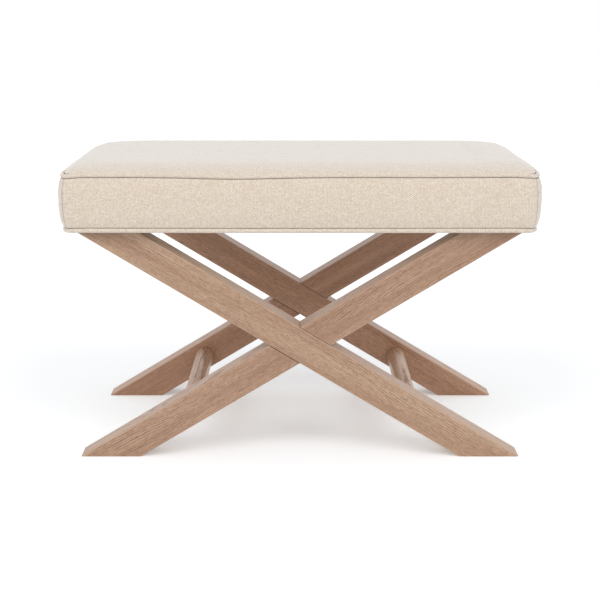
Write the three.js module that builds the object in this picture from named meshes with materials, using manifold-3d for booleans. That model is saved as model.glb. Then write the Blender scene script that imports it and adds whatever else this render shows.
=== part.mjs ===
import * as THREE from 'three';
import { mergeVertices } from 'three/addons/utils/BufferGeometryUtils.js';
import Module from 'manifold-3d';

// An X frame stool: a boxed and piped seat bolted to two half-lapped wooden crosses.
// Millimetres, +Z up, X along the length and the front towards -Y.
// The origin is on the floor, under the middle of the seat.

// Clearance between pieces that rest on, fit in or are sewn to each other
const FIT_GAP = 0.3;
// How far a cut runs on past the face that it opens
const OVERRUN = 2;

// The crosses
const FOOT_SPREAD = 720;
const LEG_HEIGHT = 374.7;
const BAR_WIDTH = 51;
const BAR_DEPTH = 52.5;
const BAR_EASE = 2;
const CROSS_SPACING = 381;

// The stretchers, round bars with a turned tenon at each end
const STRETCHER_HEIGHT = 78.7;
const STRETCHER_DIAMETER = 32;
const TENON_DIAMETER = 22;
const TENON_LENGTH = 25;
const TENON_CHAMFER = 2;

// The seat's outline. The overhangs are how far its top piping reaches past the crosses.
const END_OVERHANG = 19.3;
const SIDE_OVERHANG = 21.8;
const SEAT_CORNER_RADIUS = 24;
const LEAST_CORNER_RADIUS = 3;
const SIDE_BOW = 3.6;

// The cushion cover
const COVER_THICKNESS = 1.6;
const PIPING_DIAMETER = 6.6;
const WELT_DIAMETER = 7.3;
const BOXING_HEIGHT = 80.4;
const TOP_SEAM_SET_IN = 1.1;
const BOTTOM_SEAM_SET_IN = 3;
const BOXING_BULGE = 6.6;
const CREASE_RISE = 1.3;
const CROWN_RUN = 80;
const CROWN_RISE = 14.4;

// The filling
const BATTING_THICKNESS = 3.6;

// The deck and the cloth under it
const DECK_THICKNESS = 18;
const DUST_COVER_THICKNESS = 0.8;

// The fastenings
const OUTER_BOLT_FROM_TIP = 38;
const INNER_BOLT_FROM_TIP = 75;
const WOOD_OVER_POCKET = 14;
const BOLT_DIAMETER = 6;
const BOLT_HEAD_DIAMETER = 10;
const BOLT_HEAD_HEIGHT = 6;
const SOCKET_DIAMETER = 5.8;
const SOCKET_SIDES = 6;
const SOCKET_DEPTH = 3;
const BOLT_TIP_BELOW_DECK_TOP = 1;
const WASHER_DIAMETER = 18;
const WASHER_THICKNESS = 1.6;
const TEE_NUT_FLANGE_DIAMETER = 19;
const TEE_NUT_FLANGE_THICKNESS = 1.5;
const TEE_NUT_BARREL_DIAMETER = 9;
const TEE_NUT_BARREL_LENGTH = 10;

// How finely round shapes are drawn
const BAR_EDGE_STEPS = 3;
const STRETCHER_SIDES = 24;
const HOLE_SIDES = 16;
const FASTENER_SIDES = 12;
const CORD_SIDES = 8;
const CORNER_STEPS = 4;
const LONG_SIDE_STEPS = 8;
const SHORT_SIDE_STEPS = 6;
const BOXING_STEPS = 6;

// How full the sides and the crown are: 2 is a parabola, and more is squarer
const BULGE_FULLNESS = 3.2;
const CROWN_FULLNESS = 3.7;
// Where the rings of the crown lie, as shares of its run. The filling starts at a later ring,
// which leaves its shoulder eased under the top seam.
const CROWN_RING_SHARES = [0, 0.05, 0.13, 0.26, 0.44, 0.68, 1];
const FILLING_RING_SHARES = CROWN_RING_SHARES.slice(2);

// Sizes that follow from these
const BAR_ANGLE =
  Math.asin(BAR_WIDTH / Math.hypot(FOOT_SPREAD, LEG_HEIGHT)) + Math.atan2(LEG_HEIGHT, FOOT_SPREAD);
const STRETCHER_REACH = (LEG_HEIGHT / 2 - STRETCHER_HEIGHT) / Math.tan(BAR_ANGLE);
const SEAT_LENGTH = FOOT_SPREAD + 2 * END_OVERHANG;
const SEAT_DEPTH = CROSS_SPACING + BAR_DEPTH + 2 * SIDE_OVERHANG;
const DUST_COVER_BOTTOM = LEG_HEIGHT + FIT_GAP;
const DUST_COVER_TOP = DUST_COVER_BOTTOM + DUST_COVER_THICKNESS;
const DECK_BOTTOM = DUST_COVER_TOP + FIT_GAP;
const DECK_TOP = DECK_BOTTOM + DECK_THICKNESS;
const BATTING_BURIED = COVER_THICKNESS + FIT_GAP;
const BATTING_INSIDE_BURIED = BATTING_BURIED + BATTING_THICKNESS;
const FOAM_BURIED = BATTING_INSIDE_BURIED + FIT_GAP;
const DECK_SET_IN = BOTTOM_SEAM_SET_IN + FOAM_BURIED;
const WELT_SET_IN = DECK_SET_IN - FIT_GAP - WELT_DIAMETER;
const WELT_HEIGHT = LEG_HEIGHT + FIT_GAP + WELT_DIAMETER / 2;
const BOXING_BOTTOM = WELT_HEIGHT + WELT_DIAMETER / 2 + FIT_GAP;
const BOXING_TOP = BOXING_BOTTOM + BOXING_HEIGHT;
const PIPING_HEIGHT = BOXING_TOP + FIT_GAP + PIPING_DIAMETER / 2;
const PANEL_SET_IN = PIPING_DIAMETER + FIT_GAP;
const PANEL_EDGE_HEIGHT = PIPING_HEIGHT + CREASE_RISE;
const POCKET_CEILING = LEG_HEIGHT - WOOD_OVER_POCKET;
const WASHER_BOTTOM = POCKET_CEILING - FIT_GAP - WASHER_THICKNESS;
const BOLT_SEAT = WASHER_BOTTOM - FIT_GAP;
const BOLT_LENGTH = DECK_TOP - BOLT_TIP_BELOW_DECK_TOP - BOLT_SEAT;

const wasm = await Module();
wasm.setup();

const OAK = new THREE.MeshStandardMaterial({ color: '#b59580', roughness: 0.62, metalness: 0 });
const LINEN = new THREE.MeshStandardMaterial({ color: '#e3d5c4', roughness: 0.93, metalness: 0 });
const PIPING_LINEN = new THREE.MeshStandardMaterial({ color: '#dccbb8', roughness: 0.93, metalness: 0 });
const FOAM = new THREE.MeshStandardMaterial({ color: '#efe6c8', roughness: 0.95, metalness: 0 });
const WADDING = new THREE.MeshStandardMaterial({ color: '#f4f3ee', roughness: 1, metalness: 0 });
const PLYWOOD = new THREE.MeshStandardMaterial({ color: '#c9a878', roughness: 0.7, metalness: 0 });
const CAMBRIC = new THREE.MeshStandardMaterial({ color: '#bfbcb7', roughness: 0.95, metalness: 0 });
const ZINC = new THREE.MeshStandardMaterial({ color: '#aeb1b5', roughness: 0.35, metalness: 1 });

const stool = new THREE.Group();

function addPiece(name, geometry, material) {
  const mesh = new THREE.Mesh(geometry, material);
  mesh.name = name;
  stool.add(mesh);
}

// A closed solid of a geometry's shape, ready to be cut.
function solidOf(geometry) {
  const bare = geometry.clone();
  bare.deleteAttribute('normal');
  bare.deleteAttribute('uv');
  const merged = mergeVertices(bare);
  return new wasm.Manifold(new wasm.Mesh({
    numProp: 3,
    vertProperties: Float32Array.from(merged.attributes.position.array),
    triVerts: Uint32Array.from(merged.index.array),
  }));
}

function geometryOf(solid) {
  const mesh = solid.getMesh();
  const geometry = new THREE.BufferGeometry();
  geometry.setAttribute('position', new THREE.BufferAttribute(mesh.vertProperties, 3));
  geometry.setIndex(new THREE.BufferAttribute(mesh.triVerts, 1));
  geometry.computeVertexNormals();
  return geometry;
}

function cutAll(solid, cuts) {
  return cuts.reduce((left, cut) => left.subtract(solidOf(cut)), solid);
}

// A plain upright cylinder from one height to another, for a hole or a pocket.
function uprightCylinder(diameter, x, y, from, to) {
  const cylinder = new THREE.CylinderGeometry(diameter / 2, diameter / 2, to - from, HOLE_SIDES);
  cylinder.rotateX(Math.PI / 2);
  cylinder.translate(x, y, (from + to) / 2);
  return cylinder;
}

// A rectangle with round corners, centred on the origin.
function roundedRectangle(width, height, radius) {
  const shape = new THREE.Shape();
  const right = width / 2 - radius;
  const top = height / 2 - radius;
  shape.absarc(right, top, radius, 0, Math.PI / 2);
  shape.absarc(-right, top, radius, Math.PI / 2, Math.PI);
  shape.absarc(-right, -top, radius, Math.PI, 1.5 * Math.PI);
  shape.absarc(right, -top, radius, 1.5 * Math.PI, 2 * Math.PI);
  return shape;
}

// The legs. A lean of 1 is a leg that rises to the right, from the left foot, and -1 the other.
const LEG_REACH = FOOT_SPREAD + LEG_HEIGHT;

function leanOver(geometry, lean, y) {
  geometry.rotateY(lean * (Math.PI / 2 - BAR_ANGLE));
  geometry.translate(0, y, LEG_HEIGHT / 2);
  return geometry;
}

function boltPlaces(lean, y) {
  const tip = FOOT_SPREAD / 2;
  return [OUTER_BOLT_FROM_TIP, INNER_BOLT_FROM_TIP].map((fromTip) => ({ x: lean * (tip - fromTip), y }));
}

function legGeometry(lean, y, inward) {
  const section = roundedRectangle(BAR_WIDTH, BAR_DEPTH, BAR_EASE);
  const bar = new THREE.ExtrudeGeometry(section, {
    depth: LEG_REACH,
    bevelEnabled: false,
    curveSegments: BAR_EDGE_STEPS,
  });
  bar.translate(0, 0, -LEG_REACH / 2);
  leanOver(bar, lean, y);

  // What is left between the floor and the seat
  const level = new THREE.BoxGeometry(2 * LEG_REACH, 2 * BAR_DEPTH, LEG_HEIGHT);
  level.translate(0, y, LEG_HEIGHT / 2);

  // The half-lap: the leg that rises to the right gives up its front half, and the other its rear half
  const lapDepth = (BAR_DEPTH + FIT_GAP) / 2 + OVERRUN;
  const lap = new THREE.BoxGeometry(BAR_WIDTH + 2 * FIT_GAP, lapDepth, LEG_REACH);
  leanOver(lap, -lean, y + lean * (FIT_GAP - lapDepth) / 2);

  // The mortise for the stretcher, bored from the inner face
  const innerFace = y + inward * BAR_DEPTH / 2;
  const mortiseDepth = TENON_LENGTH + FIT_GAP;
  const mortiseRadius = TENON_DIAMETER / 2 + FIT_GAP;
  const mortise = new THREE.CylinderGeometry(
    mortiseRadius, mortiseRadius, mortiseDepth + OVERRUN, STRETCHER_SIDES);
  mortise.translate(-lean * STRETCHER_REACH, innerFace + inward * (OVERRUN - mortiseDepth) / 2,
    STRETCHER_HEIGHT);

  const boltHoles = boltPlaces(lean, y).flatMap((place) => [
    uprightCylinder(BOLT_DIAMETER + 2 * FIT_GAP, place.x, place.y, POCKET_CEILING - OVERRUN,
      LEG_HEIGHT + OVERRUN),
    uprightCylinder(WASHER_DIAMETER + 2 * FIT_GAP, place.x, place.y, POCKET_CEILING - BAR_WIDTH,
      POCKET_CEILING),
  ]);
  return geometryOf(cutAll(solidOf(bar).intersect(solidOf(level)), [lap, mortise, ...boltHoles]));
}

const CROSSES = [
  { name: 'front', y: -CROSS_SPACING / 2, inward: 1 },
  { name: 'rear', y: CROSS_SPACING / 2, inward: -1 },
];
const LEGS = CROSSES.flatMap((cross) => [
  { ...cross, side: 'left', lean: 1 },
  { ...cross, side: 'right', lean: -1 },
]);
for (const leg of LEGS) {
  addPiece(`${leg.name}_leg_${leg.side}`, legGeometry(leg.lean, leg.y, leg.inward), OAK);
}

// The stretchers, turned in one piece with their tenons
function stretcherGeometry(x) {
  const radius = STRETCHER_DIAMETER / 2;
  const tenonRadius = TENON_DIAMETER / 2;
  const shoulder = (CROSS_SPACING - BAR_DEPTH) / 2 - FIT_GAP;
  const end = shoulder + TENON_LENGTH;
  const profile = [
    new THREE.Vector2(0, -end),
    new THREE.Vector2(tenonRadius - TENON_CHAMFER, -end),
    new THREE.Vector2(tenonRadius, TENON_CHAMFER - end),
    new THREE.Vector2(tenonRadius, -shoulder),
    new THREE.Vector2(radius, -shoulder),
    new THREE.Vector2(radius, shoulder),
    new THREE.Vector2(tenonRadius, shoulder),
    new THREE.Vector2(tenonRadius, end - TENON_CHAMFER),
    new THREE.Vector2(tenonRadius - TENON_CHAMFER, end),
    new THREE.Vector2(0, end),
  ];
  const stretcher = new THREE.LatheGeometry(profile, STRETCHER_SIDES);
  stretcher.translate(x, 0, STRETCHER_HEIGHT);
  return stretcher;
}

addPiece('left_stretcher', stretcherGeometry(-STRETCHER_REACH), OAK);
addPiece('right_stretcher', stretcherGeometry(STRETCHER_REACH), OAK);

// The seat's outline, set in from the outside of the piping. Each side bows out at its middle.
// The points start at the middle of the front right corner and run round the rear.
function seatOutline(setIn) {
  const halfLength = SEAT_LENGTH / 2 - setIn;
  const halfDepth = SEAT_DEPTH / 2 - setIn;
  const radius = Math.max(SEAT_CORNER_RADIUS - setIn, LEAST_CORNER_RADIUS);
  const corners = [
    { across: 1, along: -1, steps: SHORT_SIDE_STEPS },
    { across: 1, along: 1, steps: LONG_SIDE_STEPS },
    { across: -1, along: 1, steps: SHORT_SIDE_STEPS },
    { across: -1, along: -1, steps: LONG_SIDE_STEPS },
  ];
  const cornerPoint = (corner, turn) => new THREE.Vector2(
    corner.across * (halfLength - radius) + radius * Math.cos(turn),
    corner.along * (halfDepth - radius) + radius * Math.sin(turn),
  );
  const points = corners.flatMap((corner, index) => {
    const middle = (index - 0.5) * Math.PI / 2;
    const next = corners[(index + 1) % corners.length];
    const arcOut = [];
    for (let step = 0; step < CORNER_STEPS / 2; step += 1) {
      arcOut.push(cornerPoint(corner, middle + step * Math.PI / 2 / CORNER_STEPS));
    }
    const start = cornerPoint(corner, middle + Math.PI / 4);
    const end = cornerPoint(next, middle + Math.PI / 4);
    const side = [];
    for (let step = 0; step <= corner.steps; step += 1) {
      side.push(start.clone().lerp(end, step / corner.steps));
    }
    const arcIn = [];
    for (let step = 1; step < CORNER_STEPS / 2; step += 1) {
      arcIn.push(cornerPoint(next, middle + Math.PI / 4 + step * Math.PI / 2 / CORNER_STEPS));
    }
    return [...arcOut, ...side, ...arcIn];
  });
  return points.map((point) => new THREE.Vector2(
    point.x + SIDE_BOW * (point.x / halfLength) * (1 - (point.y / halfDepth) ** 2),
    point.y + SIDE_BOW * (point.y / halfDepth) * (1 - (point.x / halfLength) ** 2),
  ));
}

function ringAt(setIn, heightAt) {
  return seatOutline(setIn).map((point) => new THREE.Vector3(point.x, point.y, heightAt(point)));
}

// How far the boxing's outside is set in from the piping at a height.
function boxingSetIn(height) {
  const share = (height - BOXING_BOTTOM) / (BOXING_TOP - BOXING_BOTTOM);
  const seamLine = BOTTOM_SEAM_SET_IN + (TOP_SEAM_SET_IN - BOTTOM_SEAM_SET_IN) * share;
  return seamLine - BOXING_BULGE * (1 - Math.abs(2 * share - 1) ** BULGE_FULLNESS);
}

// How much of the crown's rise is reached at a distance in from the panel's edge.
function crownShare(distance) {
  const runShare = Math.min(Math.max(distance / CROWN_RUN, 0), 1);
  return 1 - (1 - runShare) ** CROWN_FULLNESS;
}

function crownHeight(point) {
  const fromEnd = SEAT_LENGTH / 2 + SIDE_BOW - PANEL_SET_IN - Math.abs(point.x);
  const fromSide = SEAT_DEPTH / 2 + SIDE_BOW - PANEL_SET_IN - Math.abs(point.y);
  return PANEL_EDGE_HEIGHT + CROWN_RISE * crownShare(fromEnd) * crownShare(fromSide);
}

// Rings over the crown, each lowered by the thickness of what lies over it.
function crownRings(buried, ringShares) {
  return ringShares.map((share) => (
    ringAt(PANEL_SET_IN + share * CROWN_RUN, (point) => crownHeight(point) - buried)));
}

// Rings up the side, each set in by the thickness of what lies outside it.
function sideRings(buried, heights) {
  return heights.map((height) => ringAt(boxingSetIn(height) + buried, () => height));
}

const SIDE_HEIGHTS = [];
for (let step = 0; step <= BOXING_STEPS; step += 1) {
  SIDE_HEIGHTS.push(BOXING_BOTTOM + (BOXING_TOP - BOXING_BOTTOM) * step / BOXING_STEPS);
}

// Joins loops of equally many points into one closed body. With open ends, each end is closed
// by a strip across its loop. Every four-sided face is folded along its shorter diagonal, so
// that layers lying on each other are folded alike.
function loft(loops, endless) {
  const count = loops[0].length;
  const points = loops.flat();
  const faces = [];
  const rows = endless ? loops.length : loops.length - 1;
  for (let row = 0; row < rows; row += 1) {
    const here = row * count;
    const there = ((row + 1) % loops.length) * count;
    for (let step = 0; step < count; step += 1) {
      const next = (step + 1) % count;
      const [a, b, c, d] = [here + step, here + next, there + next, there + step];
      if (points[a].distanceToSquared(points[c]) < points[b].distanceToSquared(points[d])) {
        faces.push(a, b, c, a, c, d);
      } else {
        faces.push(b, c, d, b, d, a);
      }
    }
  }
  const last = (loops.length - 1) * count;
  for (let step = 0; !endless && step < count / 2 - 1; step += 1) {
    const far = count - 1 - step;
    faces.push(step, far, step + 1, far, far - 1, step + 1);
    faces.push(last + step, last + step + 1, last + far, last + far, last + step + 1, last + far - 1);
  }
  const geometry = new THREE.BufferGeometry();
  geometry.setFromPoints(points);
  geometry.setIndex(faces);
  return facingOut(geometry);
}

function facingOut(geometry) {
  const places = geometry.attributes.position;
  const order = geometry.index;
  const corner = (place) => new THREE.Vector3().fromBufferAttribute(places, order.getX(place));
  let volume = 0;
  for (let face = 0; face < order.count; face += 3) {
    volume += corner(face).dot(corner(face + 1).cross(corner(face + 2)));
  }
  if (volume < 0) {
    order.array.reverse();
  }
  geometry.computeVertexNormals();
  return geometry;
}

// The covered cords: the piping in the top seam and the welt round the bottom edge
function cordGeometry(diameter, setIn, height) {
  const radius = diameter / 2;
  const loops = [];
  for (let side = 0; side < CORD_SIDES; side += 1) {
    const turn = 2 * Math.PI * side / CORD_SIDES;
    loops.push(ringAt(setIn + radius - radius * Math.cos(turn), () => height + radius * Math.sin(turn)));
  }
  return loft(loops, true);
}

addPiece('top_piping', cordGeometry(PIPING_DIAMETER, 0, PIPING_HEIGHT), PIPING_LINEN);
addPiece('bottom_welt', cordGeometry(WELT_DIAMETER, WELT_SET_IN, WELT_HEIGHT), PIPING_LINEN);

// The cover's top panel, crowned between its seams
addPiece('top_panel', loft([
  ...crownRings(COVER_THICKNESS, CROWN_RING_SHARES).reverse(),
  ...crownRings(0, CROWN_RING_SHARES),
], false), LINEN);

// The boxing: a panel for each side, from the seam at the middle of one corner to the next
function boxingGeometry(start, steps) {
  const outside = sideRings(0, SIDE_HEIGHTS);
  const inside = sideRings(COVER_THICKNESS, SIDE_HEIGHTS).reverse();
  const rings = [...outside, ...inside];
  const count = rings[0].length;
  const sections = [];
  for (let step = 0; step <= steps; step += 1) {
    sections.push(rings.map((ring) => ring[(start + step) % count].clone()));
  }
  easeEnd(sections[0], sections[1]);
  easeEnd(sections[steps], sections[steps - 1]);
  return loft(sections, false);
}

// Draws a panel's end back from the corner seam by half the gap between two panels.
function easeEnd(end, neighbour) {
  end.forEach((point, index) => {
    const back = neighbour[index].clone().sub(point).setLength(FIT_GAP / 2);
    point.add(back);
  });
}

const SHORT_PANEL_STEPS = SHORT_SIDE_STEPS + CORNER_STEPS;
const LONG_PANEL_STEPS = LONG_SIDE_STEPS + CORNER_STEPS;
addPiece('boxing_right', boxingGeometry(0, SHORT_PANEL_STEPS), LINEN);
addPiece('boxing_rear', boxingGeometry(SHORT_PANEL_STEPS, LONG_PANEL_STEPS), LINEN);
addPiece('boxing_left', boxingGeometry(SHORT_PANEL_STEPS + LONG_PANEL_STEPS, SHORT_PANEL_STEPS), LINEN);
addPiece('boxing_front', boxingGeometry(2 * SHORT_PANEL_STEPS + LONG_PANEL_STEPS, LONG_PANEL_STEPS), LINEN);

// The filling: a foam block on the deck, with batting over its top and down its sides
const FOAM_BOTTOM = DECK_TOP + FIT_GAP;
const BATTING_HEIGHTS = SIDE_HEIGHTS.slice(0, -1);
const FOAM_HEIGHTS = [FOAM_BOTTOM, ...BATTING_HEIGHTS.filter((height) => height > FOAM_BOTTOM)];

addPiece('batting', loft([
  ...crownRings(BATTING_INSIDE_BURIED, FILLING_RING_SHARES).reverse(),
  ...sideRings(BATTING_INSIDE_BURIED, BATTING_HEIGHTS).reverse(),
  ...sideRings(BATTING_BURIED, BATTING_HEIGHTS),
  ...crownRings(BATTING_BURIED, FILLING_RING_SHARES),
], false), WADDING);

addPiece('foam_block', loft([
  ...sideRings(FOAM_BURIED, FOAM_HEIGHTS),
  ...crownRings(FOAM_BURIED, FILLING_RING_SHARES),
], false), FOAM);

// The deck and the dust cover, pierced for the bolts
const BOLTS = LEGS.flatMap((leg) => boltPlaces(leg.lean, leg.y));

function flatSheet(setIn, bottom, top) {
  const outline = new THREE.Shape(seatOutline(setIn));
  const sheet = new THREE.ExtrudeGeometry(outline, { depth: top - bottom, bevelEnabled: false });
  sheet.translate(0, 0, bottom);
  return solidOf(sheet);
}

const deckHoles = BOLTS.flatMap((bolt) => [
  uprightCylinder(TEE_NUT_BARREL_DIAMETER + 2 * FIT_GAP, bolt.x, bolt.y, DECK_BOTTOM - OVERRUN,
    DECK_TOP + OVERRUN),
  uprightCylinder(TEE_NUT_FLANGE_DIAMETER + 2 * FIT_GAP, bolt.x, bolt.y,
    DECK_TOP - TEE_NUT_FLANGE_THICKNESS - FIT_GAP, DECK_TOP + OVERRUN),
]);
addPiece('seat_deck', geometryOf(cutAll(flatSheet(DECK_SET_IN, DECK_BOTTOM, DECK_TOP), deckHoles)), PLYWOOD);

const dustCoverHoles = BOLTS.map((bolt) => uprightCylinder(
  BOLT_DIAMETER + 2 * FIT_GAP, bolt.x, bolt.y, DUST_COVER_BOTTOM - OVERRUN, DUST_COVER_TOP + OVERRUN));
addPiece('dust_cover', geometryOf(cutAll(
  flatSheet(DECK_SET_IN, DUST_COVER_BOTTOM, DUST_COVER_TOP), dustCoverHoles)), CAMBRIC);

// The fastenings: a bolt with its washer from below, and a tee nut let into the deck
function turned(points, place, height) {
  const profile = points.map(([radius, level]) => new THREE.Vector2(radius, level));
  const body = new THREE.LatheGeometry(profile, FASTENER_SIDES);
  body.rotateX(Math.PI / 2);
  body.translate(place.x, place.y, height);
  return body;
}

function boltGeometry(place) {
  const shank = BOLT_DIAMETER / 2;
  const head = BOLT_HEAD_DIAMETER / 2;
  const body = turned([
    [0, -BOLT_HEAD_HEIGHT],
    [head, -BOLT_HEAD_HEIGHT],
    [head, 0],
    [shank, 0],
    [shank, BOLT_LENGTH],
    [0, BOLT_LENGTH],
  ], place, BOLT_SEAT);
  const socket = new THREE.CylinderGeometry(
    SOCKET_DIAMETER / 2, SOCKET_DIAMETER / 2, SOCKET_DEPTH + OVERRUN, SOCKET_SIDES);
  socket.rotateX(Math.PI / 2);
  socket.translate(place.x, place.y, BOLT_SEAT - BOLT_HEAD_HEIGHT + (SOCKET_DEPTH - OVERRUN) / 2);
  return geometryOf(cutAll(solidOf(body), [socket]));
}

function washerGeometry(place) {
  const hole = BOLT_DIAMETER / 2 + FIT_GAP;
  const rim = WASHER_DIAMETER / 2;
  return turned([
    [hole, 0],
    [rim, 0],
    [rim, WASHER_THICKNESS],
    [hole, WASHER_THICKNESS],
    [hole, 0],
  ], place, WASHER_BOTTOM);
}

function teeNutGeometry(place) {
  const bore = BOLT_DIAMETER / 2 + FIT_GAP;
  const barrel = TEE_NUT_BARREL_DIAMETER / 2;
  const flange = TEE_NUT_FLANGE_DIAMETER / 2;
  return turned([
    [bore, -TEE_NUT_BARREL_LENGTH],
    [barrel, -TEE_NUT_BARREL_LENGTH],
    [barrel, 0],
    [flange, 0],
    [flange, TEE_NUT_FLANGE_THICKNESS],
    [bore, TEE_NUT_FLANGE_THICKNESS],
    [bore, -TEE_NUT_BARREL_LENGTH],
  ], place, DECK_TOP - TEE_NUT_FLANGE_THICKNESS);
}

BOLTS.forEach((place, index) => {
  addPiece(`seat_bolt_${index + 1}`, boltGeometry(place), ZINC);
  addPiece(`bolt_washer_${index + 1}`, washerGeometry(place), ZINC);
  addPiece(`tee_nut_${index + 1}`, teeNutGeometry(place), ZINC);
});

export default stool;
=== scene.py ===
from functools import partial
import math

import bmesh
import bpy
import numpy as np
from mathutils import Matrix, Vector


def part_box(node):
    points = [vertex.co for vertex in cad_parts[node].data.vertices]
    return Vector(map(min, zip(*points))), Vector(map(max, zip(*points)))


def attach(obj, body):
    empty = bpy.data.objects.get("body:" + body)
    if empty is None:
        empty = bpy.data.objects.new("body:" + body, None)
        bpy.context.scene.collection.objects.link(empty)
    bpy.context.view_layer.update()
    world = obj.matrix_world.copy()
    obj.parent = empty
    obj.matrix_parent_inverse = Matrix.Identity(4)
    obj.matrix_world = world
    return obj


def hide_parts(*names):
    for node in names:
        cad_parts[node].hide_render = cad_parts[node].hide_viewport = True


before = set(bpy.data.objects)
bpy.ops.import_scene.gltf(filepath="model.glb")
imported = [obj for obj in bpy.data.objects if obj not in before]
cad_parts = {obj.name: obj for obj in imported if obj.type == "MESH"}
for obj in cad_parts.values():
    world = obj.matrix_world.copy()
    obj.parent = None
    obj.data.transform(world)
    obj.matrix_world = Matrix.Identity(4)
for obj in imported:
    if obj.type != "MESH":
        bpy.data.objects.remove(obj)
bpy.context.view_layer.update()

scene = bpy.context.scene

# The legs
# Four square bars of European oak, sawn straight along the grain, planed, eased by hand along
# the edges and lacquered matt. Each pair is half-lapped, glued, and cut level at both ends.
BAR_WIDTH = 0.051
EDGE_WEAR_REACH = 0.0022
OAK_PALE = "#D4B195"
OAK_TAN = "#BC967B"
OAK_LATEWOOD = "#7E5840"
OAK_PORE = "#745341"
OAK_WORN = "#D2B299"
# The narrow faces are sawn flat to the rings, so they show more of the paler, warmer early wood.
# Their paler tone is also painted light, which lifts the narrow faces towards the wide ones.
OAK_FLAT_SAWN_AND_LIT = "#D5AB87"
FLAT_SAWN_AND_LIT_SHARE = 0.3
# The glue line's colour, made darker as painted shade of the gap where the bars meet
GLUE_LINE_AND_SHADE = "#8C684E"
# How far from its mate a bar is darkened by the glued joint and by painted shade of the gap
# and the V where the bars meet, drawn wider than it is to show
GLUE_AND_SHADE_REACH = 0.0007
# No two boards are quite alike: how much each leg darkens and warms the colours above. The rear
# legs are darkened and warmed further as painted shade, for the shade that the seat casts on them.
LEG_TONES_AND_SHADE = {
    "front_left": "#E5E1DF",
    "front_right": "#EDEDEB",
    "rear_left": "#E3D5CD",
    "rear_right": "#E7DAD2",
}
LEG_SEED_STEP = 7.3
# The rings lie across the bar's section and lean by this much, so they show close together on
# the wide faces and far apart on the narrow ones.
RING_LEAN = 0.22
RING_SPACING = 0.0031
# How far the rings wander from straight along the bar
LEG_RING_WANDER = 0.030
# Where the latewood starts and where it is darkest, as shares of a ring, and how dark it is in
# the palest and the darkest years
LATEWOOD_EDGES = (0.26, 0.04)
LATEWOOD_YEARS = (0.35, 1.0)
# Each pattern's length along the grain, its breadth along the growth rings and across them, then
# the noise between which it grows, and how much it shows at its least and its most
OAK_PATTERNS = {
    "wander": ((0.420, 0.160, 0.160), (0.3, 0.7, 0, 1)),
    "tone": ((0.300, 0.060, 0.0160), (0.34, 0.66, 0, 0.8)),
    "streaks": ((0.022, 0.0050, 0.0026), (0.38, 0.64, 0.25, 1)),
    "fibres": ((0.010, 0.0022, 0.0012), (0.4, 0.7, 0, 0.4)),
    "pores": ((0.005, 0.0012, 0.0009), (0.58, 0.68, 0, 0.55)),
}
OAK_RELIEF = {"Strength": 0.35, "Distance": 0.0002}
LACQUER_IOR = 1.5
# The roughness between the latewood's lines, and on them
LACQUER_ROUGHNESS = (0.34, 0.5)
# A Mix node's places for its factor and its two colours, when it mixes colours
FACTOR, FIRST, SECOND = 0, 6, 7


def linear(hex_colour):
    """An sRGB hex colour as the linear red, green, blue and alpha that a shader takes."""
    shares = [int(hex_colour[place:place + 2], 16) / 255 for place in (1, 3, 5)]
    return [s / 12.92 if s <= 0.04045 else ((s + 0.055) / 1.055) ** 2.4 for s in shares] + [1]


def set_inputs(node, values):
    """Sets a node's inputs to values and hex colours, or links them to an output. A node stands
    for the first output that it has in use."""
    for socket, value in dict(values).items():
        if isinstance(value, bpy.types.Node):
            value = next(output for output in value.outputs if output.enabled)
        if isinstance(value, bpy.types.NodeSocket):
            node.id_data.links.new(value, node.inputs[socket])
        else:
            node.inputs[socket].default_value = linear(value) if isinstance(value, str) else value


def add_node(tree, kind, inputs=(), **settings):
    """Adds a shader node with its settings, its values and its links."""
    made = tree.nodes.new(f"ShaderNode{kind}")
    for name, value in settings.items():
        setattr(made, name, value)
    set_inputs(made, inputs)
    return made


def start_material(name, values):
    """A new material, its shader, which takes the values, and what adds nodes to it."""
    material = bpy.data.materials.new(name)
    material.use_nodes = True
    shader = material.node_tree.nodes["Principled BSDF"]
    set_inputs(shader, values)
    return material, shader, partial(add_node, material.node_tree)


def dress(piece, material):
    """Gives a piece one material."""
    piece.data.materials.clear()
    piece.data.materials.append(material)


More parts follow.
